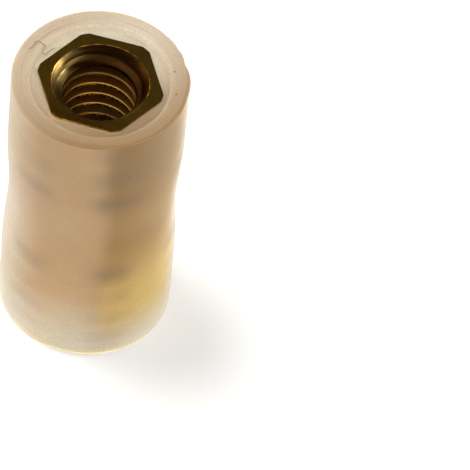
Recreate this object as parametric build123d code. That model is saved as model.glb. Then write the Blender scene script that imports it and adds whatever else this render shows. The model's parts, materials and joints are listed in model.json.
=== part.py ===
"""Threaded standoff: a moulded nylon spacer with a tapped brass hex insert in each end.

Millimetres, +Z up. The origin is at the centre of the lower end, on the plane of its rim.
"""

from build123d import *

import math
import os

# Driving dimensions of the nylon body
overall_length = 15.0
body_diameter = 7.9
rim_edge_radius = 0.05
waist_depth = 0.165
waist_length = 7.6

# Driving dimensions of the dished end faces
rim_land_width = 0.16
dish_width = 0.60
dish_depth = 0.20
floor_step = 0.08

# Driving dimensions of the trimmed gate stub on the waist
gate_diameter = 0.8
gate_height = 0.06
gate_angle = 80.0
gate_root = 0.5

# Driving dimensions of the brass inserts
hex_across_flats = 5.1
hex_corner_cut = 0.115
insert_length = 5.5
insert_recess = 0.22
inner_end_chamfer = 0.2

# Driving dimensions of the locking grooves, measured under the flats
groove_count = 3
groove_width = 0.5
groove_depth = 0.15

# Driving dimensions of the tapped bore, drilled to its core size
core_diameter = 3.24
mouth_width = 0.56
mouth_depth = 0.75
insert_end_wall = 0.6

# Cutting tools reach this far past what they cut
cut_margin = 1.0

body_radius = body_diameter / 2
core_radius = core_diameter / 2
hex_corner_diameter = hex_across_flats / math.cos(math.radians(30)) - 2 * hex_corner_cut
groove_root_diameter = hex_across_flats - 2 * groove_depth
land_width = (insert_length - groove_count * groove_width) / (groove_count + 1)
bore_depth = insert_length - insert_end_wall
lower_insert_face = insert_recess
upper_insert_face = overall_length - insert_recess


def revolved(outline):
    """Turns a closed outline of (radius, height) points about the standoff's axis."""
    return revolve(Plane.XZ * make_face(Polyline(*outline, close=True)), Axis.Z)


def body_blank():
    """The round body, drawn in at mid-height where the thick nylon shrank between the inserts."""
    middle = overall_length / 2
    waist_bottom = middle - waist_length / 2
    waist_top = middle + waist_length / 2
    waist_radius = body_radius - waist_depth
    rim_inside = body_radius - rim_edge_radius
    outline = [
        Line((0, 0), (rim_inside, 0)),
        JernArc((rim_inside, 0), (1, 0), rim_edge_radius, 90),
        Line((body_radius, rim_edge_radius), (body_radius, waist_bottom)),
        Spline(
            (body_radius, waist_bottom),
            (waist_radius, middle),
            (body_radius, waist_top),
            tangents=[(0, 1), (0, 1)],
        ),
        Line((body_radius, waist_top), (body_radius, overall_length - rim_edge_radius)),
        JernArc((body_radius, overall_length - rim_edge_radius), (0, 1), rim_edge_radius, 90),
        Line((rim_inside, overall_length), (0, overall_length)),
        Line((0, overall_length), (0, 0)),
    ]
    return revolve(Plane.XZ * make_face(outline), Axis.Z)


def end_dish():
    """The cut that dishes the lower end: a cone inside the rim, then a step down to a flat floor."""
    dish_outside = body_radius - rim_land_width
    floor_radius = dish_outside - dish_width
    slope = dish_depth / dish_width
    outline = [
        (0, -cut_margin),
        (dish_outside + cut_margin / slope, -cut_margin),
        (floor_radius, dish_depth),
        (floor_radius, dish_depth + floor_step),
        (0, dish_depth + floor_step),
    ]
    return revolved(outline)


def gate_stub():
    """The round stub left where the gate was trimmed off the waist."""
    root_radius = body_radius - waist_depth - gate_root
    stub = Cylinder(gate_diameter / 2, gate_root + gate_height, align=(Align.CENTER, Align.CENTER, Align.MIN))
    return Rot(0, 0, gate_angle) * Pos(root_radius, 0, overall_length / 2) * Rot(0, 90, 0) * stub


def locking_groove(height):
    """One ring cut that leaves a turned groove about the insert, with its lower edge at a height."""
    outside = hex_corner_diameter / 2 + cut_margin
    inside = groove_root_diameter / 2
    corners = [(inside, height), (outside, height), (outside, height + groove_width), (inside, height + groove_width)]
    return revolved(corners)


def insert_blank():
    """The outside of a lower insert: hex bar with turned corners, lead chamfer and locking grooves."""
    bar = extrude(RegularPolygon(hex_across_flats / 2, 6, major_radius=False), insert_length)
    turned_radius = hex_corner_diameter / 2
    turning = [
        (0, 0),
        (turned_radius, 0),
        (turned_radius, insert_length - inner_end_chamfer),
        (turned_radius - inner_end_chamfer, insert_length),
        (0, insert_length),
    ]
    blank = bar & revolved(turning)
    for number in range(groove_count):
        blank -= locking_groove(land_width + number * (land_width + groove_width))
    return Pos(0, 0, lower_insert_face) * blank


def tapped_bore():
    """The blind bore of a lower insert, at core size, with its countersunk mouth."""
    mouth_radius = core_radius + mouth_width
    slope = mouth_width / mouth_depth
    outline = [
        (0, -cut_margin),
        (mouth_radius + cut_margin * slope, -cut_margin),
        (core_radius, mouth_depth),
        (core_radius, bore_depth),
        (0, bore_depth),
    ]
    return Pos(0, 0, lower_insert_face) * revolved(outline)


def at_upper_end(lower_shape):
    """The same shape turned over about the X axis, so that it lies at the upper end."""
    return Pos(0, 0, overall_length) * Rot(180, 0, 0) * lower_shape


blank = insert_blank()
bottom_insert = blank - tapped_bore()
top_insert = at_upper_end(bottom_insert)

nylon_body = body_blank() + gate_stub()
for dish in (end_dish(), at_upper_end(end_dish())):
    nylon_body -= dish
for pocket in (blank, at_upper_end(blank)):
    nylon_body -= pocket

os.makedirs("parts", exist_ok=True)
nodes = {"nylon_body": nylon_body, "top_insert": top_insert, "bottom_insert": bottom_insert}
for name, shape in nodes.items():
    export_step(shape, f"parts/{name}.step")
    print(name, "volume", round(shape.volume, 3), "mm3, solids", len(shape.solids()))
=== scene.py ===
"""Threaded standoff: the looks of a moulded nylon spacer with a tapped brass hex insert in each end.

Laid out as an add-on and run as a script. Metres, +Z up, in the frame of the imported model.
"""

import json
import math

import bpy
from bpy.props import FloatProperty, FloatVectorProperty, IntProperty, PointerProperty
from bpy.types import Operator, Panel, PropertyGroup
from mathutils import Matrix, Vector


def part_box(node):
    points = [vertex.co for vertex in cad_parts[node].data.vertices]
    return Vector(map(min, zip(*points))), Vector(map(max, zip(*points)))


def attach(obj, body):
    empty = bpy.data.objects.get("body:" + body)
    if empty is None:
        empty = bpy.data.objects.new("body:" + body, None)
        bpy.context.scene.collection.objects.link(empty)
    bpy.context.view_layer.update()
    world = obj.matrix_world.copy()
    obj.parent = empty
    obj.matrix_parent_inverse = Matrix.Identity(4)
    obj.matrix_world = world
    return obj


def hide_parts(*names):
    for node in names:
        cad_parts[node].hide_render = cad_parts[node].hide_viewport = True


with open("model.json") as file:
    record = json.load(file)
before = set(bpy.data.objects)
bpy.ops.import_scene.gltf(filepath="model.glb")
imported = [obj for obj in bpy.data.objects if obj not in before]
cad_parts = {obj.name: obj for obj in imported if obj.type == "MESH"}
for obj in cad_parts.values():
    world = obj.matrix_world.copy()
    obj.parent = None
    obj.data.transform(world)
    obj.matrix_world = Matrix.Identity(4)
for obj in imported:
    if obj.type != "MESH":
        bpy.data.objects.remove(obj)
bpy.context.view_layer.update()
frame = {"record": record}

bl_info = {
    "name": "Threaded standoff",
    "version": (1, 0, 0),
    "blender": (4, 5, 0),
    "location": "View3D > Sidebar > Standoff",
    "description": "Moulds a nylon spacer about two tapped brass hex inserts",
    "category": "Add Mesh",
}

MM = 0.001
FULL_TURN = 2 * math.pi
MERGE_DISTANCE = 0.0005 * MM
FLAT_TOLERANCE = 0.01 * MM
HALF_HEX_CORNER = math.radians(30)

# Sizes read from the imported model
body_low, body_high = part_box("nylon_body")
lower_insert_low, lower_insert_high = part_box("bottom_insert")
mounts = {mount["name"]: mount for mount in frame["record"]["mounts"]}
overall_length = body_high.z - body_low.z
body_radius = (body_high.y - body_low.y) / 2
insert_length = lower_insert_high.z - lower_insert_low.z
insert_recess = lower_insert_low.z - body_low.z
hex_across_flats = lower_insert_high.y - lower_insert_low.y
turned_diameter = lower_insert_high.x - lower_insert_low.x
core_radius = mounts["top_thread"]["dims"]["r_mm"] * MM


def length(name, description, millimetres):
    """A length setting, kept in metres and given in millimetres."""
    return FloatProperty(
        name=name,
        description=description,
        default=millimetres * MM,
        unit="LENGTH",
        subtype="DISTANCE",
        precision=6,
    )


def angle(name, description, degrees):
    """An angle setting, kept in radians and given in degrees."""
    return FloatProperty(
        name=name, description=description, default=math.radians(degrees), unit="ROTATION", subtype="ANGLE"
    )


def share(name, description, value):
    """A setting from 0 to 1."""
    return FloatProperty(name=name, description=description, default=value, min=0, max=1, subtype="FACTOR")


def number(name, description, value):
    """A plain number setting."""
    return FloatProperty(name=name, description=description, default=value)


def colour(name, description, value):
    """A colour setting."""
    return FloatVectorProperty(
        name=name, description=description, default=(*value, 1), size=4, min=0, max=1, subtype="COLOR"
    )


def place_of_lamp(name, description, millimetres):
    """The place of a lamp, kept in metres and given in millimetres."""
    return FloatVectorProperty(
        name=name,
        description=description,
        default=tuple(value * MM for value in millimetres),
        unit="LENGTH",
        subtype="TRANSLATION",
        precision=4,
    )


class BodySettings(PropertyGroup):
    """Sizes of the nylon body."""

    rim_land_width: length("Rim land width", "Width of the flat rim about each end", 0.16)
    rim_edge_radius: length("Rim edge radius", "Rounding of the rim's outer edge", 0.05)
    dish_width: length("Dish width", "Width of the cone inside the rim", 0.60)
    dish_depth: length("Dish depth", "Depth of the cone inside the rim", 0.20)
    floor_step: length("Floor step", "Step from the cone down to the floor about the insert", 0.08)
    step_run: length("Step run", "How far that step runs inwards on its way down", 0.12)
    corner_softness: length("Corner softness", "Rounding of the moulded corners of the end faces", 0.03)
    waist_depth: length("Waist depth", "How far the middle is drawn in", 0.165)
    waist_length: length("Waist length", "Length of the drawn-in middle", 7.6)
    gate_diameter: length("Gate diameter", "Diameter of the trimmed gate stub", 0.8)
    gate_height: length("Gate height", "How far the gate stub stands proud", 0.06)
    gate_angle: angle("Gate angle", "Where the gate stub is about the body", 80)
    pocket_clearance: length("Pocket clearance", "Gap between the nylon and the brass", 0.006)
    steps: IntProperty(name="Steps", description="Steps of a full turn", default=256)


class InsertSettings(PropertyGroup):
    """Sizes of the brass inserts."""

    groove_count: IntProperty(name="Grooves", description="Locking grooves about each insert", default=3)
    groove_width: length("Groove width", "Width of a locking groove", 0.5)
    groove_depth: length("Groove depth", "Depth of a locking groove under the flats", 0.15)
    lead_chamfer: length("Lead chamfer", "Chamfer at the inner end", 0.2)
    edge_break: length("Edge break", "Bevel of the hex face's edge", 0.018)
    mouth_width: length("Mouth width", "Width of the countersink", 0.56)
    mouth_depth: length("Mouth depth", "Depth of the countersink", 0.75)
    mouth_edge: length("Mouth edge", "Bevel between the countersink and the hex face", 0.003)
    pitch: length("Pitch", "Pitch of the thread", 0.7)
    thread_depth: length("Thread depth", "From the core to the root of the thread", 0.38)
    crest_softness: length("Crest softness", "Rounding of the thread's crests", 0.12)
    root_softness: length("Root softness", "Rounding at the thread's roots", 0.03)
    end_wall: length("End wall", "Brass left under the bore", 0.6)
    runout: length("Run-out", "Stretch in which the thread fades out", 0.4)
    plain_end: length("Plain end", "Bore left without thread at its end", 0.1)
    first_crest_depth: length("First crest", "Depth of the first crest under the hex face", 0.78)
    first_crest_angle: angle("First crest angle", "Where that crest is about the upper insert", 102)
    steps: IntProperty(name="Steps", description="Steps of a full turn", default=144)


class NylonSettings(PropertyGroup):
    """Looks of the nylon."""

    # Bright is painted light at the foot, down the edges of the side and on the floor about the hex, and
    # painted highlights on the step and beside the hex.
    bright: colour("Bright", "Colour where most light comes through, as at the foot", (0.99, 0.87, 0.66))
    pale: colour("Pale", "Colour of the end face", (0.76, 0.63, 0.455))
    # Warm is painted shade in front on the end face and towards the top of the side; it is also the colour of
    # the fine marks, the rings and the fibre.
    warm: colour("Warm", "Colour of the end face in front, over the brass", (0.39, 0.23, 0.085))
    body: colour("Body", "Colour of the side", (0.93, 0.62, 0.27))
    # Amber and gold are a painted glow of the brass through the side.
    amber: colour("Amber", "Colour where the brass glows through the side", (0.51, 0.285, 0.03))
    gold: colour("Gold", "Colour where the brass shines through most", (1.0, 0.68, 0.17))
    # Shade is painted shade over the corners of the brass lands and at the top right of the side; the fibre
    # also takes it as its own colour.
    shade: colour("Shade", "Colour over the corners of the brass lands", (0.30, 0.17, 0.07))
    speck: colour("Speck", "Colour of the dark specks", (0.05, 0.035, 0.02))
    clear: colour("Clear", "Tint of what shows through the nylon", (0.96, 0.77, 0.46))
    haze: share("Haze", "How much of the nylon's look is its own milk", 0.68)
    blur: share("Blur", "How blurred the brass shows through the nylon", 0.55)
    gloss_roughness: share("Gloss roughness", "Roughness of the nylon's surface", 0.42)
    sheen: share("Sheen", "How much paler the nylon gets where it turns away", 0.15)
    light_reach: length("Light reach", "How far light spreads in the nylon", 0.35)
    relief: length("Relief", "Height of the surface's fine marks", 0.012)


class BrassSettings(PropertyGroup):
    """Looks of the brass."""

    # Crest is the burnished colour of the crests and a painted highlight on them, brightest at the back.
    crest: colour("Crest", "Colour of the thread's burnished crests", (1.0, 0.62, 0.115))
    metal: colour("Metal", "Colour of the turned brass", (0.52, 0.36, 0.12))
    # Valley is painted shade deep in the thread, in its first turn, at the back of the countersink and in
    # front on the hex face; it is also the colour of the brass's stains and mottling.
    valley: colour("Valley", "Colour deep in the thread", (0.11, 0.038, 0.006))
    # Painted shade in the countersink's first turn and at its back.
    mouth_shade: colour("Mouth shade", "Colour of the grime in the countersink and the first turn", (0.02, 0.01, 0.003))
    tarnish: colour("Tarnish", "Colour of the duller sawn face", (0.38, 0.215, 0.03))
    glance: colour("Glance", "Tint of what the brass mirrors at a flat angle", (0.75, 0.55, 0.30))
    crest_roughness: share("Crest roughness", "Roughness of the crests", 0.27)
    turned_roughness: share("Turned roughness", "Roughness of the turned brass", 0.3)
    valley_roughness: share("Valley roughness", "Roughness deep in the thread", 0.48)
    face_roughness: share("Face roughness", "Roughness of the sawn face", 0.26)
    relief: length("Relief", "Height of the tool marks", 0.004)


class StageSettings(PropertyGroup):
    """Camera, floor and light."""

    camera_place: FloatVectorProperty(
        name="Camera place",
        description="Where the camera is",
        default=(32.7624 * MM, -148.8798 * MM, 198.5784 * MM),
        subtype="TRANSLATION",
        unit="LENGTH",
        precision=6,
    )
    camera_turns: FloatVectorProperty(
        name="Camera turns",
        description="How the camera is turned",
        default=tuple(math.radians(turn) for turn in (38.0229, -3.9814, 14.9886)),
        subtype="EULER",
        precision=6,
    )
    lens: FloatProperty(name="Lens", description="Focal length", default=415.28, unit="CAMERA")
    floor_radius: length("Floor radius", "Radius of the pale floor", 900)
    sweep_height: length("Sweep height", "Height of the sweep about the floor", 30)
    floor_colour: colour("Floor colour", "Colour of the floor and its sweep", (0.92, 0.92, 0.92))
    near_glow: number("Near glow", "What is added to the floor where it is seen, beside the part", 0.35)
    far_glow: number("Far glow", "What is added to the floor where it is seen, far off", 1.0)
    glow_start: length("Glow start", "How far from the part the added light starts to grow", 14)
    glow_end: length("Glow end", "How far from the part it has grown", 120)
    horizon_level: number("Horizon level", "Strength of the studio's light low down", 7.5)
    wall_level: number("Wall level", "Strength of the studio's light higher up", 0.05)
    horizon_top: angle("Horizon top", "Where the light from low down starts to fade", 2.0)
    wall_start: angle("Wall start", "Where it has faded out", 8)
    top_place: place_of_lamp("Top lamp place", "Where the lamp overhead is", (-100, 30, 330))
    top_width: length("Top lamp width", "Width of the lamp overhead", 120)
    top_level: number("Top lamp level", "How bright that lamp's face is, where 1 is white", 17.0)
    ring_level: number("Ring level", "How bright the ring of light about the part is, where 1 is white", 2.6)
    ring_low: angle("Ring low", "Where the ring of light starts over the horizon", 44)
    ring_high: angle("Ring high", "Where it ends", 52)
    left_place: place_of_lamp("Left lamp place", "Where the lamp at the left is", (-245, 245, 95))
    left_width: length("Left lamp width", "Width of the lamp at the left", 160)
    left_level: number("Left lamp level", "How bright that lamp's face is, where 1 is white", 5.0)
    right_place: place_of_lamp("Right lamp place", "Where the lamp at the right is", (300, 170, 75))
    right_width: length("Right lamp width", "Width of the lamp at the right", 160)
    right_level: number("Right lamp level", "How bright that lamp's face is, where 1 is white", 8.0)


class Wire:
    """A number in a material's maths. Python's operators on it add Math nodes."""

    def __init__(self, sheet, socket):
        self.sheet = sheet
        self.socket = socket

    def joined(self, operation, first, second):
        """A Math node on two values, either of which may be a plain number."""
        return self.sheet.add("Math", {"operation": operation}, {0: first, 1: second})

    def __add__(self, other):
        return self.joined("ADD", self, other)

    def __radd__(self, other):
        return self.joined("ADD", other, self)

    def __sub__(self, other):
        return self.joined("SUBTRACT", self, other)

    def __rsub__(self, other):
        return self.joined("SUBTRACT", other, self)

    def __mul__(self, other):
        return self.joined("MULTIPLY", self, other)

    def __rmul__(self, other):
        return self.joined("MULTIPLY", other, self)

    def __truediv__(self, other):
        return self.joined("DIVIDE", self, other)

    def __rtruediv__(self, other):
        return self.joined("DIVIDE", other, self)

    def __pow__(self, other):
        return self.joined("POWER", self, other)

    def __abs__(self):
        return self.joined("ABSOLUTE", self, 0)

    def output(self, name):
        """Another output of the node that this value comes from."""
        return Wire(self.sheet, self.socket.node.outputs[name])


class Sheet:
    """The node sheet of one material or of the world."""

    def __init__(self, owner):
        owner.use_nodes = True
        self.tree = owner.node_tree
        self.tree.nodes.clear()

    def add(self, kind, settings=None, inputs=None, output=0):
        """Adds a node: its settings first, then the values or links of its inputs."""
        node = self.tree.nodes.new("ShaderNode" + kind)
        for name, value in (settings or {}).items():
            if name == "stops":
                set_stops(node.color_ramp, value)
            else:
                setattr(node, name, value)
        for name, value in (inputs or {}).items():
            if isinstance(value, Wire):
                self.tree.links.new(value.socket, node.inputs[name])
            else:
                node.inputs[name].default_value = value
        return Wire(self, node.outputs[output]) if node.outputs else None

    def greatest(self, *values):
        """The greatest of some values."""
        largest = values[0]
        for value in values[1:]:
            largest = self.add("Math", {"operation": "MAXIMUM"}, {0: largest, 1: value})
        return largest

    def place(self, scale):
        """The surface's place in the part's own coordinates, times a scale."""
        coordinates = self.add("TexCoord", output="Object")
        return self.add("VectorMath", {"operation": "SCALE"}, {0: coordinates, "Scale": scale})

    def fade(self, value, start, end):
        """0 up to the start, 1 from the end on, smooth between. The start may be the larger."""
        return self.add(
            "MapRange",
            {"interpolation_type": "SMOOTHSTEP"},
            {"Value": value, "From Min": start, "From Max": end},
        )

    def mixed(self, factor, first, second):
        """A colour between two colours."""
        return self.add("Mix", {"data_type": "RGBA"}, {0: factor, 6: first, 7: second}, output=2)

    def noise(self, place, scale, detail=3.0):
        """Soft noise from 0 to 1."""
        inputs = {"Vector": place, "Scale": scale, "Detail": detail, "Roughness": 0.55}
        return self.add("TexNoise", {}, inputs)

    def bump(self, height, distance):
        """A normal with fine relief; the height is a share of the distance."""
        return self.add("Bump", {}, {"Height": height, "Distance": distance, "Strength": 1.0})


class Spot:
    """Where a point of the surface is, in millimetres of the part's own frame."""

    def __init__(self, sheet):
        self.sheet = sheet
        self.vector = sheet.place(1 / MM)
        self.x = sheet.add("SeparateXYZ", {}, {0: self.vector})
        self.y = self.x.output("Y")
        self.z = self.x.output("Z")
        self.radius = (self.x * self.x + self.y * self.y) ** 0.5
        self.depth = overall_length / (2 * MM) - abs(self.z - overall_length / (2 * MM))

    def across(self, degrees):
        """How far the point lies out towards an angle about the axis."""
        turn = math.radians(degrees)
        return self.x * math.cos(turn) + self.y * math.sin(turn)

    def facing(self, degrees):
        """1 where the point lies at an angle about the axis, falling to -1 opposite."""
        return self.across(degrees) / self.radius

    def turned_marks(self, fineness, run):
        """Streaks that run round the axis: their fineness across, and how fast they change on their way."""
        along = (self.x / self.radius * run, self.y / self.radius * run, (self.radius + self.z) * fineness)
        return self.sheet.noise(self.sheet.add("CombineXYZ", {}, dict(enumerate(along))), 1.0)

    def disc(self, centre, radius):
        """1 inside a small ball about a centre, with a soft edge."""
        ends = {0: self.vector, 1: centre}
        offset = self.sheet.add("VectorMath", {"operation": "DISTANCE"}, ends, output="Value")
        return self.sheet.fade(offset, radius * 1.25, radius * 0.75)


def set_stops(ramp, stops):
    """Gives a colour ramp its stops as (position, colour), with soft steps between them."""
    ramp.interpolation = "B_SPLINE"
    while len(ramp.elements) > len(stops):
        ramp.elements.remove(ramp.elements[-1])
    while len(ramp.elements) < len(stops):
        ramp.elements.new(1.0)
    for element, (position, value) in zip(ramp.elements, stops):
        element.position = position
        element.color = value


def start_afresh():
    """Object mode with nothing selected, so that an operator acts on new work alone."""
    if bpy.context.mode != "OBJECT":
        bpy.ops.object.mode_set(mode="OBJECT")
    bpy.ops.object.select_all(action="DESELECT")


def take_up(piece, *others):
    """Selects pieces and makes the first of them active."""
    start_afresh()
    for chosen in (piece, *others):
        chosen.select_set(True)
    bpy.context.view_layer.objects.active = piece


def named(name):
    """Gives the active object and its mesh a name."""
    piece = bpy.context.active_object
    piece.name = name
    piece.data.name = name
    return piece


def edit_all(mode="VERT"):
    """Edit mode on the active object with everything selected."""
    bpy.ops.object.mode_set(mode="EDIT")
    bpy.ops.mesh.select_mode(type=mode)
    bpy.ops.mesh.select_all(action="SELECT")


def pick_faces(piece, is_wanted):
    """Edit mode on a piece with only those faces selected that a test picks."""
    take_up(piece)
    edit_all("FACE")
    bpy.ops.mesh.select_all(action="DESELECT")
    bpy.ops.object.mode_set(mode="OBJECT")
    for face in piece.data.polygons:
        face.select = is_wanted(face)
    bpy.ops.object.mode_set(mode="EDIT")


def clamped(value):
    """A value kept within 0 and 1."""
    return min(1.0, max(0.0, value))


def move_out(place, distance):
    """Moves a place straight out from the Z axis, or in, to a distance from it."""
    change = distance / math.hypot(place.x, place.y)
    place.x *= change
    place.y *= change


def soften_corners(points, steps=3):
    """An outline of (radius, height) or (radius, height, softness) points, with each soft corner rounded."""
    soft = [Vector(points[0][:2])]
    for before, corner, after in zip(points, points[1:], points[2:]):
        middle = Vector(corner[:2])
        if len(corner) < 3:
            soft.append(middle)
            continue
        back = Vector(before[:2]) - middle
        ahead = Vector(after[:2]) - middle
        longest = 0.45 * min(back.length, ahead.length)
        reach = min(corner[2] / math.tan(back.angle(ahead) / 2), longest)
        start = middle + back.normalized() * reach
        end = middle + ahead.normalized() * reach
        for number_of_step in range(steps + 1):
            part = number_of_step / steps
            soft.append(start * (1 - part) ** 2 + middle * 2 * part * (1 - part) + end * part**2)
    soft.append(Vector(points[-1][:2]))
    return soft


def divided(points, longest):
    """The outline with its long stretches divided evenly."""
    finer = [points[0]]
    for here, there in zip(points, points[1:]):
        count = max(1, math.ceil((there - here).length / longest))
        for number_of_part in range(1, count + 1):
            finer.append(here.lerp(there, number_of_part / count))
    return finer


def draw_line(name, places):
    """A new object that is one line of edges, drawn place by place."""
    start_afresh()
    bpy.ops.mesh.primitive_plane_add(size=MM)
    piece = named(name)
    edit_all()
    bpy.ops.mesh.merge(type="CENTER")
    bpy.ops.transform.translate(value=places[0])
    for here, there in zip(places, places[1:]):
        bpy.ops.mesh.extrude_vertices_move(TRANSFORM_OT_translate={"value": there - here})
    bpy.ops.object.mode_set(mode="OBJECT")
    return piece


def draw_outline(name, points):
    """A line of edges in the XZ plane, from points of (radius, height)."""
    return draw_line(name, [Vector((point.x, 0, point.y)) for point in points])


def spin_outline(name, points, steps, merge_distance=MERGE_DISTANCE, inside=False):
    """A surface turned from an outline, closed where the outline starts or ends on the Z axis."""
    piece = draw_outline(name, points)
    edit_all()
    bpy.ops.mesh.spin(steps=steps, angle=FULL_TURN, center=(0, 0, 0), axis=(0, 0, 1))
    bpy.ops.mesh.select_all(action="SELECT")
    bpy.ops.mesh.remove_doubles(threshold=merge_distance)
    bpy.ops.mesh.normals_make_consistent(inside=inside)
    bpy.ops.object.mode_set(mode="OBJECT")
    return piece


def combine(piece, tool, operation):
    """Cuts, joins or crosses a piece with a tool, which is then used up."""
    take_up(piece)
    bpy.ops.object.modifier_add(type="BOOLEAN")
    modifier = piece.modifiers[-1]
    modifier.operation = operation
    modifier.solver = "EXACT"
    modifier.object = tool
    bpy.ops.object.modifier_apply(modifier=modifier.name)
    bpy.data.objects.remove(tool, do_unlink=True)


def settle(piece, matrix):
    """Puts a piece in its place and applies that to its mesh."""
    take_up(piece)
    piece.matrix_world = matrix
    bpy.ops.object.transform_apply(location=True, rotation=True, scale=True)
    return piece


def finish_surface(piece, material, degrees=30):
    """Smooth shading up to an angle, and the piece's material."""
    take_up(piece)
    bpy.ops.object.shade_smooth_by_angle(angle=math.radians(degrees))
    piece.data.materials.clear()
    piece.data.materials.append(material)


# The nylon body


def waist_radius(body, height):
    """The body's radius at a height: it is drawn in evenly about the middle."""
    drawn = clamped(1 - abs(height - overall_length / 2) / (body.waist_length / 2))
    return body_radius - body.waist_depth * drawn * drawn * (3 - 2 * drawn)


def body_outline(body):
    """Half the body's section, from the middle of the lower end face round to that of the upper one."""
    rim_inside = body_radius - body.rim_land_width
    floor_radius = rim_inside - body.dish_width
    floor_depth = body.dish_depth + body.floor_step
    step_softness = 5 * body.corner_softness
    lower_end = [
        (0, floor_depth),
        (floor_radius - body.step_run, floor_depth, step_softness),
        (floor_radius, body.dish_depth, step_softness),
        (rim_inside, 0, body.corner_softness),
        (body_radius, 0, body.rim_edge_radius),
        (body_radius, overall_length / 4),
    ]
    upper_end = [(point[0], overall_length - point[1], *point[2:]) for point in reversed(lower_end)]
    side_step = 0.25 * MM
    lower = divided(soften_corners(lower_end), side_step)
    upper = divided(soften_corners(upper_end), side_step)
    side_count = 30
    side = []
    for number_of_ring in range(1, side_count):
        height = lower[-1].y + (upper[0].y - lower[-1].y) * number_of_ring / side_count
        side.append(Vector((body_radius, height)))
    whole = lower + side + upper
    return [Vector((min(point.x, waist_radius(body, point.y)), point.y)) for point in whole]


def nibble_rim(piece):
    """Moves the vertices of the upper rim where flash was trimmed unevenly."""
    nicks_and_step_highlights = (
        # angle and half width in degrees, depth in millimetres
        (31, 4.5, 0.075),
        (44, 2.5, 0.03),
        (17, 7.0, -0.03),
        (3, 4.0, 0.035),
        (58, 1.5, 0.03),
        (-16, 3.0, 0.02),
    )
    fade_height = 0.5 * MM
    rim_inside = body_radius - 0.3 * MM
    for vertex in piece.data.vertices:
        place = vertex.co
        nearness = 1 - (overall_length - place.z) / fade_height
        distance = math.hypot(place.x, place.y)
        if nearness <= 0 or distance < rim_inside:
            continue
        heading = math.degrees(math.atan2(place.y, place.x))
        cut = 0.0
        for middle, half_width, depth in nicks_and_step_highlights:
            cut += depth * MM * math.exp(-(((heading - middle) / half_width) ** 2))
        move_out(place, distance - cut * nearness)


def gate_stub(body):
    """The round stub left where the gate was trimmed, with a torn ring about its middle."""
    root_depth = 0.5 * MM
    edge_bevel = 0.03 * MM
    torn_ring = (
        # width and rise in millimetres, from the edge inwards
        (0.1, 0.0),
        (0.04, -0.04),
        (0.06, 0.03),
    )
    inner = body_radius - body.waist_depth - root_depth
    height = root_depth + body.gate_height
    start_afresh()
    bpy.ops.mesh.primitive_cylinder_add(
        vertices=48,
        radius=body.gate_diameter / 2,
        depth=height,
        end_fill_type="NGON",
        location=(inner + height / 2, 0, overall_length / 2),
        rotation=(0, math.radians(90), 0),
    )
    stub = named("gate_stub")
    bpy.ops.object.transform_apply(location=True, rotation=True, scale=True)
    pick_faces(stub, lambda face: face.normal.x > 0.9)
    bpy.ops.mesh.bevel(offset=edge_bevel, segments=2)
    for width, rise in torn_ring:
        bpy.ops.mesh.inset(thickness=width * MM, depth=rise * MM)
    bpy.ops.object.mode_set(mode="OBJECT")
    return settle(stub, Matrix.Rotation(body.gate_angle, 4, "Z"))


def end_face_height(body, x, y):
    """How high the upper end face is at a place: it falls along the cone, then down the step to the floor."""
    inside_rim = body_radius - body.rim_land_width - math.hypot(x, y)
    along_cone = clamped(inside_rim / body.dish_width)
    down_step = clamped((inside_rim - body.dish_width) / body.step_run)
    return overall_length - body.dish_depth * along_cone - body.floor_step * down_step


def dust_fibre(body):
    """A short kinked fibre that lies on the upper end face."""
    kinks = (
        # places on the end face in millimetres
        (-3.50, 0.73),
        (-3.38, 0.80),
        (-3.34, 0.98),
        (-3.33, 1.24),
        (-3.16, 1.33),
        (-2.98, 1.22),
        (-2.89, 1.31),
        (-2.93, 1.04),
        (-2.88, 0.80),
        (-2.74, 0.76),
        (-2.68, 0.95),
        (-2.58, 1.13),
        (-2.47, 1.27),
    )
    thickness = 0.022 * MM
    places = []
    for x, y in kinks:
        places.append(Vector((x * MM, y * MM, end_face_height(body, x * MM, y * MM) + thickness)))
    draw_line("dust_fibre", places)
    bpy.ops.object.convert(target="CURVE")
    fibre = bpy.context.active_object
    line = fibre.data.splines[0]
    line.type = "NURBS"
    line.order_u = 3
    line.use_endpoint_u = True
    line.resolution_u = 6
    fibre.data.bevel_depth = thickness / 2
    fibre.data.bevel_resolution = 1
    fibre.data.use_fill_caps = True
    bpy.ops.object.convert(target="MESH")
    return named("dust_fibre")


# The brass inserts


def turned_outline(inserts, clearance):
    """Half the section that the corners are turned to: lands and locking grooves, then the lead chamfer."""
    land_radius = turned_diameter / 2 + clearance
    groove_radius = hex_across_flats / 2 - inserts.groove_depth + clearance
    land_count = inserts.groove_count + 1
    land = (insert_length - inserts.groove_count * inserts.groove_width) / land_count
    points = [(0, -clearance), (land_radius, -clearance)]
    for number_of_groove in range(inserts.groove_count):
        start = land + number_of_groove * (land + inserts.groove_width) + clearance
        end = start + inserts.groove_width - 2 * clearance
        points += [(land_radius, start), (groove_radius, start), (groove_radius, end), (land_radius, end)]
    points += [
        (land_radius, insert_length - inserts.lead_chamfer + clearance),
        (land_radius - inserts.lead_chamfer, insert_length + clearance),
        (0, insert_length + clearance),
    ]
    return [Vector(point) for point in points]


def hex_bar(inserts, clearance):
    """The outside of an insert, with its face down on the XY plane and its corners on the X axis."""
    turned = spin_outline("turned_outside", turned_outline(inserts, clearance), inserts.steps)
    start_afresh()
    margin = MM
    bpy.ops.mesh.primitive_cylinder_add(
        vertices=6,
        radius=(hex_across_flats / 2 + clearance) / math.cos(HALF_HEX_CORNER),
        depth=insert_length + 2 * margin,
        end_fill_type="NGON",
        location=(0, 0, insert_length / 2),
        rotation=(0, 0, HALF_HEX_CORNER),
    )
    bar = named("hex_bar")
    bpy.ops.object.transform_apply(location=True, rotation=True, scale=True)
    combine(bar, turned, "INTERSECT")
    edit_all("FACE")
    bpy.ops.mesh.dissolve_limited(angle_limit=math.radians(0.5))
    bpy.ops.object.mode_set(mode="OBJECT")
    return bar


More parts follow.
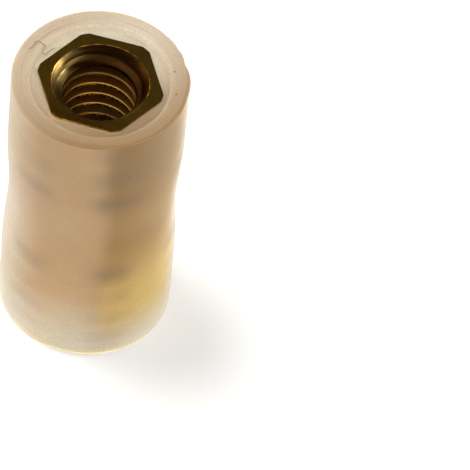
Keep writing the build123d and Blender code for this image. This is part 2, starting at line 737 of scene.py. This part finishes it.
def thread_outline(inserts):
    """One pitch of the thread's section, from the middle of a root to the middle of the next."""
    crest_flat = inserts.pitch / 4
    flank_angle = math.radians(30)
    longest_stretch = 0.06 * MM
    root_radius = core_radius + inserts.thread_depth
    flank = inserts.thread_depth * math.tan(flank_angle)
    crest_start = (inserts.pitch - crest_flat) / 2
    root_end = crest_start - flank
    corners = [
        (root_radius, 0),
        (root_radius, root_end, inserts.root_softness),
        (core_radius, crest_start, inserts.crest_softness),
        (core_radius, crest_start + crest_flat, inserts.crest_softness),
        (root_radius, inserts.pitch - root_end, inserts.root_softness),
        (root_radius, inserts.pitch),
    ]
    return divided(soften_corners(corners, 4), longest_stretch)


def mouth_radius(inserts, depth):
    """The countersink's radius at a depth, with a small bevel at the hex face."""
    cone = core_radius + inserts.mouth_width * (1 - depth / inserts.mouth_depth)
    return cone + max(0.0, inserts.mouth_edge - depth)


def tapped_wall(inserts):
    """The bore's wall, from the hex face on the XY plane up to the bore's end: mouth, thread and run-out."""
    bore_depth = insert_length - inserts.end_wall
    turns_before = 3
    rise_per_radian = inserts.pitch / FULL_TURN
    crest = inserts.first_crest_depth + rise_per_radian * inserts.first_crest_angle
    start = crest - (turns_before + 0.5) * inserts.pitch
    outline = [point + Vector((0, start)) for point in thread_outline(inserts)]
    wall = draw_outline("tapped_wall", outline)
    take_up(wall)
    bpy.ops.object.modifier_add(type="SCREW")
    screw = wall.modifiers[-1]
    screw.axis = "Z"
    screw.angle = FULL_TURN
    screw.screw_offset = inserts.pitch
    screw.iterations = math.ceil(bore_depth / inserts.pitch) + turns_before + 1
    screw.steps = inserts.steps
    screw.render_steps = inserts.steps
    screw.merge_threshold = MERGE_DISTANCE
    bpy.ops.object.modifier_apply(modifier=screw.name)
    edit_all()
    bpy.ops.mesh.remove_doubles(threshold=MERGE_DISTANCE)
    bpy.ops.object.mode_set(mode="OBJECT")
    thread_end = bore_depth - inserts.plain_end
    for vertex in wall.data.vertices:
        place = vertex.co
        distance = math.hypot(place.x, place.y)
        left = clamped((thread_end - place.z) / inserts.runout)
        reach = min(distance, core_radius + inserts.thread_depth * left)
        move_out(place, max(reach, mouth_radius(inserts, place.z)))
    edit_all()
    upwards = (0, 0, 1)
    bore_end = (0, 0, bore_depth)
    bpy.ops.mesh.bisect(plane_co=(0, 0, 0), plane_no=upwards, clear_inner=True, threshold=MERGE_DISTANCE)
    bpy.ops.mesh.select_all(action="SELECT")
    bpy.ops.mesh.bisect(plane_co=bore_end, plane_no=upwards, clear_outer=True, threshold=MERGE_DISTANCE)
    bpy.ops.mesh.edge_face_add()
    bpy.ops.mesh.inset(thickness=0.1 * MM)
    bpy.ops.object.mode_set(mode="OBJECT")
    return wall


def on_hex_face(face):
    """Whether a face is part of the flat hex face on the XY plane."""
    return face.normal.z < -0.99 and abs(face.center.z) < FLAT_TOLERANCE


def tapped_insert(inserts):
    """A whole insert with its face down on the XY plane: hex bar, flat face, countersink and thread."""
    insert = hex_bar(inserts, 0)
    pick_faces(insert, on_hex_face)
    bpy.ops.mesh.bevel(offset=inserts.edge_break, segments=2)
    pick_faces(insert, on_hex_face)
    bpy.ops.mesh.delete(type="ONLY_FACE")
    bpy.ops.object.mode_set(mode="OBJECT")
    wall = tapped_wall(inserts)
    take_up(insert, wall)
    bpy.ops.object.join()
    edit_all("EDGE")
    bpy.ops.mesh.select_all(action="DESELECT")
    bpy.ops.mesh.select_non_manifold(extend=False, use_wire=True, use_boundary=True, use_multi_face=False)
    bpy.ops.mesh.fill(use_beauty=True)
    bpy.ops.mesh.select_all(action="SELECT")
    bpy.ops.mesh.normals_make_consistent(inside=False)
    bpy.ops.object.mode_set(mode="OBJECT")
    return insert


def upper_place():
    """Turns a lower insert over about the X axis and lifts it to the upper end."""
    return Matrix.Translation((0, 0, overall_length - insert_recess)) @ Matrix.Rotation(math.pi, 4, "X")


def lower_place(turn=0.0):
    """Lifts an insert to its place in the lower end, turned about the axis."""
    return Matrix.Translation((0, 0, insert_recess)) @ Matrix.Rotation(turn, 4, "Z")


# Materials


def hex_distance(sheet, spot):
    """How far the flat that a point is nearest to lies from the axis: constant along a hexagon."""
    flats = [abs(spot.across(degrees)) for degrees in (90, 30, -30)]
    return sheet.greatest(*flats)


def painted_land_shade(sheet, spot):
    """Painted shade where the corners of the brass lands show dark through the side: at six angles, in bands.
    """
    bands = (
        # middle and half height as shares of the length from the foot, and how dark
        (0.09, 0.04, 0.25),
        (0.18, 0.04, 0.35),
        (0.275, 0.045, 0.35),
        (0.385, 0.05, 0.9),
        (0.735, 0.04, 1.0),
        (0.85, 0.05, 0.6),
        (0.95, 0.04, 0.3),
    )
    none = (0, 0, 0, 1)
    corners = 6
    stops = [(0.0, none)]
    for middle, half_height, darkness in bands:
        stops.append((middle - half_height, none))
        stops.append((middle, (darkness, darkness, darkness, 1)))
        stops.append((middle + half_height, none))
    band = sheet.add("ValToRGB", {"stops": stops}, {0: spot.z * (MM / overall_length)})
    turn = sheet.add("Math", {"operation": "ARCTAN2"}, {0: spot.y, 1: spot.x})
    corner = sheet.add("Math", {"operation": "COSINE"}, {0: turn * corners})
    patchy = sheet.fade(sheet.noise(spot.vector, 0.5, 2.0), 0.3, 0.6)
    return sheet.fade(corner, -0.9, 1.0) * band * (patchy * 0.6 + 0.4) * 1.5


def end_face_colour(sheet, spot, look):
    """The end face: pale at the back and left, with painted shade that makes it warmer in front, painted
    light on the floor about the hex, painted highlights on the step at the back, and a painted reflection of
    the brass beside the hex's near flats.
    """
    step_radius = 3.24
    # Painted shade: the end face warmer and darker in front.
    warmth = sheet.fade(spot.across(-58), -2.8, 4.2) * sheet.fade(spot.z, 6.0, 9.0)
    tone = sheet.mixed(warmth, look.pale, look.warm)
    # Painted light on the floor about the hex, more of it towards the back.
    floor = sheet.fade(spot.radius, 3.8, 2.6)
    painted_light_share = 0.35 + sheet.fade(spot.across(80), 0.2, 2.2) * 0.6
    tone = sheet.mixed(floor * painted_light_share * (1 - warmth * 0.85), tone, look.bright)
    rings = sheet.noise(sheet.add("CombineXYZ", {}, {0: spot.radius * 9, 1: spot.facing(20)}), 1.0)
    tone = sheet.mixed(sheet.fade(rings, 0.5, 0.75) * 0.3, tone, look.warm)
    # Painted highlights: short bright strokes along the step at the back.
    on_step = sheet.fade(abs(spot.radius - step_radius), 0.07, 0.03) * sheet.fade(spot.across(100), 1.0, 2.4)
    nicks_and_step_highlights = sheet.fade(spot.turned_marks(2.0, 7.0), 0.56, 0.66) * on_step
    tone = sheet.mixed(nicks_and_step_highlights, tone, look.bright)
    # Painted reflection of the brass beside the hex's near flats: pale at the left, gold in front.
    beside = hex_distance(sheet, spot)
    half_flats = hex_across_flats / (2 * MM)
    near = sheet.fade(spot.across(-105), 0.4, 1.6)
    shine = sheet.mixed(near, look.bright, look.body)
    strip = sheet.fade(beside, half_flats + 0.16, half_flats + 0.05)
    return sheet.mixed(strip * sheet.fade(spot.across(-20), 2.7, 1.2) * 0.65, tone, shine)


def paleness(sheet, spot):
    """Where light comes through the side most: at the foot and in two streaks down the sides."""
    foot = sheet.fade(spot.z, 5.0, 0.0) * 0.95
    left = sheet.fade(spot.facing(-168), 0.45, 1.0) * (0.6 - sheet.fade(spot.z, 8.0, 13.0) * 0.35)
    return sheet.greatest(foot, left, sheet.fade(spot.facing(22), 0.6, 1.0))


def side_colour(sheet, spot, look):
    """The side: painted shade that darkens it towards the top, at the top right and over the corners of the
    lands, a painted glow of the brass in amber and gold at the right of the front, and painted light at the
    edges and the foot.
    """
    cloud = sheet.noise(spot.vector, 0.5, 4.0)
    # Painted shade: the side gets darker and warmer towards the top.
    tone = sheet.mixed(sheet.fade(spot.z, 2.0, 11.0) * 0.32, look.body, look.warm)
    tone = sheet.mixed(paleness(sheet, spot) + (cloud - 0.5) * 0.6, tone, look.bright)
    # Painted glow of the brass through the side, amber higher up and gold low down, at the right of the front
    # only.
    turn = sheet.fade(spot.facing(-42), 0.66, 0.94) * sheet.fade(spot.facing(24), -0.14, 0.14)
    glow = turn * sheet.fade(spot.z, 0.4, 3.5) * (0.85 + cloud * 0.3)
    low = sheet.fade(spot.z, 8.0, 4.0)
    tone = sheet.mixed(glow, tone, sheet.mixed(low, look.amber, look.gold))
    # Painted shade at the top right of the side.
    tone = sheet.mixed(turn * sheet.fade(spot.z, 9.0, 13.0) * 0.35, tone, look.shade)
    # Painted shade over the corners of the lands, strongest in front.
    weight = 0.42 + sheet.fade(spot.facing(-62), 0.5, 0.95) * 0.4
    return sheet.mixed(painted_land_shade(sheet, spot) * weight, tone, look.shade)


def nylon_material(look):
    """Milky nylon: part scattering, part a blurred view of the brass and the light behind, with painted
    light, shade and glow of the brass in its colour.
    """
    specks = (
        # place and radius in millimetres
        ((2.963, 1.537, 14.85), 0.045),
        ((3.378, 0.293, 14.867), 0.045),
        ((2.32, -3.19, 12.80), 0.05),
    )
    material = bpy.data.materials.new("milky_nylon")
    sheet = Sheet(material)
    spot = Spot(sheet)
    in_dish = sheet.fade(spot.depth, 0.5, 0.32) * sheet.fade(spot.radius, 3.93, 3.86)
    at_end = sheet.greatest(in_dish, sheet.fade(spot.depth, 0.18, 0.02))
    tone = sheet.mixed(at_end, side_colour(sheet, spot, look), end_face_colour(sheet, spot, look))
    on_speck = sheet.greatest(*[spot.disc(place, radius) for place, radius in specks])
    tone = sheet.mixed(on_speck, tone, look.speck)
    marks = spot.turned_marks(8.0, 1.0)
    grain = sheet.noise(spot.vector, 14.0, 4.0)
    dark_marks = sheet.fade(grain, 0.45, 0.75) * 0.32 + sheet.fade(marks, 0.45, 0.75) * 0.1
    tone = sheet.mixed(dark_marks, tone, look.warm)
    relief = sheet.bump(marks * 0.6 + grain * 0.4, look.relief)
    shared = {
        "Roughness": look.gloss_roughness,
        "IOR": 1.5,
        "Sheen Weight": look.sheen,
        "Sheen Roughness": 0.4,
        "Normal": relief,
    }
    milky = sheet.add(
        "BsdfPrincipled",
        {"subsurface_method": "RANDOM_WALK"},
        {
            "Base Color": tone,
            "Subsurface Weight": 1.0,
            "Subsurface Radius": (0.8, 0.78, 0.68),
            "Subsurface Scale": look.light_reach,
            **shared,
        },
    )
    clear = sheet.add(
        "BsdfPrincipled",
        {},
        {**shared, "Base Color": look.clear, "Transmission Weight": 1.0, "Roughness": look.blur},
    )
    haze = look.haze + sheet.greatest(paleness(sheet, spot), at_end) * 0.24
    both = sheet.add("MixShader", {}, {0: haze, 1: clear, 2: milky})
    sheet.add("OutputMaterial", {}, {"Surface": both})
    return material


def brass_material(look):
    """Turned brass: a sawn face of duller brass, tool marks in the countersink, burnished crests on the
    thread, with painted shade deep in the thread, in its first turn, at the back of the countersink and in
    front on the face, and a painted highlight on the crests that is brightest at the back.
    """
    material = bpy.data.materials.new("turned_brass")
    sheet = Sheet(material)
    spot = Spot(sheet)
    under_face = spot.depth - insert_recess / MM
    past_core = spot.radius - core_radius / MM
    marks = spot.turned_marks(16.0, 1.2)
    grain = sheet.noise(spot.vector, 9.0, 5.0)
    on_face = sheet.fade(under_face, 0.03, 0.01)
    in_bore = sheet.fade(under_face, 0.55, 0.75)
    at_core = sheet.fade(past_core, -0.12, -0.04)
    crest = in_bore * at_core * sheet.fade(past_core, 0.08, 0.02)
    # Painted shade: the bore's floor, the valleys of the thread, its first turn and the back of the
    # countersink go towards the valley colour; the streaks are turned tool marks.
    bore_floor = in_bore * (1 - at_core)
    valley = sheet.fade(past_core, 0.015, 0.1) * in_bore
    throat = sheet.fade(under_face, 0.35, 0.6) * sheet.fade(under_face, 1.9, 1.0)
    throat = throat * sheet.fade(spot.facing(60), -0.35, 0.3)
    back = sheet.fade(spot.facing(60), -0.05, 0.6) * (1 - crest)
    streaks = sheet.fade(marks, 0.4, 0.6) * 0.5
    deep = sheet.fade(under_face, 3.4, 4.7)
    shade_and_tool_marks = sheet.greatest(valley * (1 - deep * 0.3), throat, back * 0.85, bore_floor * 0.6)
    shade_and_tool_marks = shade_and_tool_marks + streaks * (1 - in_bore)
    tone = sheet.mixed(shade_and_tool_marks, look.metal, look.valley)
    # Painted shade in the first turn and at the back of the countersink.
    behind = sheet.fade(spot.facing(85), 0.6, 0.98) * (1 - in_bore)
    tone = sheet.mixed(sheet.greatest(throat * 0.75, behind * 0.6), tone, look.mouth_shade)
    # Painted highlight: the crests take the bright crest colour most at the back and less in front.
    crest_highlight = sheet.fade(spot.facing(105), 0.0, 0.75) * 0.65 + 0.35
    tone = sheet.mixed(crest * (1 - throat) * crest_highlight, tone, look.crest)
    tone = sheet.mixed(on_face, tone, look.tarnish)
    stain = sheet.fade(sheet.noise(spot.vector, 1.6, 5.0), 0.35, 0.75)
    mottle = sheet.fade(sheet.noise(spot.vector, 14.0, 3.0), 0.4, 0.62) * on_face
    # Painted shade: the hex face darker in front; the stain and mottle are the brass's own tone.
    near = sheet.fade(spot.across(-95), 1.2, 2.6) * on_face
    tone = sheet.mixed(stain * 0.3 + mottle * 0.45 + near * 0.3, tone, look.valley)
    roughness = look.turned_roughness + crest * (look.crest_roughness - look.turned_roughness)
    roughness = roughness + on_face * (look.face_roughness - look.turned_roughness) + (grain - 0.5) * 0.06
    roughness = roughness + sheet.greatest(valley, throat) * (look.valley_roughness - look.turned_roughness)
    height = (marks * 0.8 + grain * 0.2) * (1 - in_bore) * (1 - on_face * 0.97)
    relief = sheet.bump(height, look.relief)
    shader = sheet.add(
        "BsdfPrincipled",
        {},
        {
            "Base Color": tone,
            "Metallic": 1.0,
            "Roughness": roughness,
            "Specular Tint": look.glance,
            "Normal": relief,
        },
    )
    sheet.add("OutputMaterial", {}, {"Surface": shader})
    return material


def fibre_material(look):
    """A dark dust fibre."""
    material = bpy.data.materials.new("dust_fibre")
    sheet = Sheet(material)
    patches = sheet.noise(sheet.place(1 / MM), 3.0)
    tone = sheet.mixed(sheet.fade(patches, 0.35, 0.6), look.shade, look.warm)
    shader = sheet.add("BsdfPrincipled", {}, {"Base Color": tone, "Roughness": 0.7})
    sheet.add("OutputMaterial", {}, {"Surface": shader})
    return material


def floor_material(stage):
    """A pale floor that shows white, and keeps the part's shadow."""
    material = bpy.data.materials.new("pale_floor")
    sheet = Sheet(material)
    black = (0, 0, 0, 1)
    white = (1, 1, 1, 1)
    path = sheet.add("LightPath", output="Is Camera Ray")
    seen = sheet.greatest(path, path.output("Is Glossy Ray"), path.output("Is Transmission Ray"))
    distance = sheet.add("VectorMath", {"operation": "LENGTH"}, {0: sheet.place(1.0)}, output="Value")
    far = sheet.fade(distance, stage.glow_start, stage.glow_end)
    glow = stage.near_glow + far * (stage.far_glow - stage.near_glow)
    shader = sheet.add(
        "BsdfPrincipled",
        {},
        {
            "Base Color": stage.floor_colour,
            "Roughness": 1.0,
            "Specular IOR Level": 0.0,
            "Emission Color": sheet.mixed(seen * glow, black, white),
            "Emission Strength": 1.0,
        },
    )
    sheet.add("OutputMaterial", {}, {"Surface": shader})
    return material


def studio_light(stage):
    """A studio that is bright low down and dim higher up, with a ring open at the back and three lamps."""
    world = bpy.data.worlds.new("studio")
    bpy.context.scene.world = world
    sheet = Sheet(world)
    direction = sheet.add("TexCoord", output="Generated")
    height = sheet.add("SeparateXYZ", {}, {0: direction}, output="Z")
    walls = sheet.fade(height, math.sin(stage.horizon_top), math.sin(stage.wall_start))
    strength = stage.horizon_level + walls * (stage.wall_level - stage.horizon_level)
    low = math.sin(stage.ring_low)
    high = math.sin(stage.ring_high)
    edge = 0.03
    ring = sheet.fade(height, low - edge, low + edge) * sheet.fade(height, high + edge, high - edge)
    not_behind = sheet.fade(height.output("Y"), 0.45, 0.2)
    strength = strength + ring * not_behind * stage.ring_level
    background = sheet.add("Background", {}, {"Color": (1, 1, 1, 1), "Strength": strength})
    sheet.add("OutputWorld", {}, {"Surface": background})
    for side in ("top", "left", "right"):
        place, width, level = [getattr(stage, f"{side}_{size}") for size in ("place", "width", "level")]
        soft_lamp(side + "_lamp", place, width, level)


def soft_lamp(name, place, width, level):
    """A round soft lamp that faces the part. Its level is that of its face, where 1 is white."""
    facing = (-Vector(place)).to_track_quat("-Z", "Y").to_euler()
    bpy.ops.object.light_add(type="AREA", location=place, rotation=facing)
    lamp = named(name)
    lamp.data.shape = "DISK"
    lamp.data.size = width
    face_area = math.pi * (width / 2) ** 2
    lamp.data.energy = level * face_area * math.pi


# Operators


class STANDOFF_OT_mould_body(Operator):
    """Moulds the nylon body about the two inserts"""

    bl_idname = "standoff.mould_body"
    bl_label = "Mould the body"

    def execute(self, context):
        body = context.scene.standoff_body
        inserts = context.scene.standoff_inserts
        piece = spin_outline("moulded_body", body_outline(body), body.steps)
        nibble_rim(piece)
        combine(piece, gate_stub(body), "UNION")
        for place in (lower_place(), upper_place()):
            pocket = settle(hex_bar(inserts, body.pocket_clearance), place)
            combine(piece, pocket, "DIFFERENCE")
        finish_surface(piece, nylon_material(context.scene.standoff_nylon))
        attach(piece, "root")
        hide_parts("nylon_body")
        return {"FINISHED"}


class STANDOFF_OT_drop_fibre(Operator):
    """Drops a dust fibre on the upper end face"""

    bl_idname = "standoff.drop_fibre"
    bl_label = "Drop the fibre"

    def execute(self, context):
        fibre = dust_fibre(context.scene.standoff_body)
        finish_surface(fibre, fibre_material(context.scene.standoff_nylon), 60)
        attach(fibre, "root")
        return {"FINISHED"}


class STANDOFF_OT_turn_inserts(Operator):
    """Turns, grooves and taps one insert and puts one in each end"""

    bl_idname = "standoff.turn_inserts"
    bl_label = "Turn the inserts"

    def execute(self, context):
        material = brass_material(context.scene.standoff_brass)
        model = tapped_insert(context.scene.standoff_inserts)
        finish_surface(model, material, 20)
        places = {"top_insert": upper_place(), "bottom_insert": lower_place(math.radians(120))}
        for node, place in places.items():
            insert = model.copy()
            insert.data = model.data.copy()
            insert.name = "tapped_" + node
            insert.data.name = insert.name
            context.scene.collection.objects.link(insert)
            settle(insert, place)
            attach(insert, "root")
            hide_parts(node)
        bpy.data.objects.remove(model, do_unlink=True)
        return {"FINISHED"}


class STANDOFF_OT_set_stage(Operator):
    """Lays the pale floor and sets the light and the camera"""

    bl_idname = "standoff.set_stage"
    bl_label = "Set the stage"

    def execute(self, context):
        stage = context.scene.standoff_stage
        bend = stage.sweep_height
        outline = [
            (0, 0),
            (stage.floor_radius, 0, bend),
            (stage.floor_radius + bend, bend),
            (stage.floor_radius + bend, 1.5 * bend),
        ]
        floor = spin_outline("floor", soften_corners(outline, 12), 64, MM, inside=True)
        finish_surface(floor, floor_material(stage), 60)
        studio_light(stage)
        bpy.ops.object.camera_add(location=stage.camera_place, rotation=stage.camera_turns)
        camera = named("camera")
        camera.data.lens = stage.lens
        camera.data.sensor_width = 36
        camera.data.clip_start = 0.01
        camera.data.clip_end = 10
        context.scene.camera = camera
        context.scene.view_settings.view_transform = "Standard"
        return {"FINISHED"}


class STANDOFF_PT_steps(Panel):
    """Lists the steps that make the part"""

    bl_label = "Threaded standoff"
    bl_idname = "STANDOFF_PT_steps"
    bl_space_type = "VIEW_3D"
    bl_region_type = "UI"
    bl_category = "Standoff"

    def draw(self, context):
        for step in steps:
            self.layout.operator(step.bl_idname)


settings = {
    "standoff_body": BodySettings,
    "standoff_inserts": InsertSettings,
    "standoff_nylon": NylonSettings,
    "standoff_brass": BrassSettings,
    "standoff_stage": StageSettings,
}
steps = (STANDOFF_OT_mould_body, STANDOFF_OT_drop_fibre, STANDOFF_OT_turn_inserts, STANDOFF_OT_set_stage)


def register():
    """Registers the settings, the steps and the panel."""
    for name, group in settings.items():
        bpy.utils.register_class(group)
        setattr(bpy.types.Scene, name, PointerProperty(type=group))
    for made in (*steps, STANDOFF_PT_steps):
        bpy.utils.register_class(made)


def unregister():
    """Takes the panel, the steps and the settings away again."""
    for made in reversed((*steps, STANDOFF_PT_steps)):
        bpy.utils.unregister_class(made)
    for name, group in settings.items():
        delattr(bpy.types.Scene, name)
        bpy.utils.unregister_class(group)


def main():
    """Makes the part and its stage."""
    register()
    bpy.ops.standoff.mould_body()
    bpy.ops.standoff.drop_fibre()
    bpy.ops.standoff.turn_inserts()
    bpy.ops.standoff.set_stage()


if __name__ == "__main__":
    main()
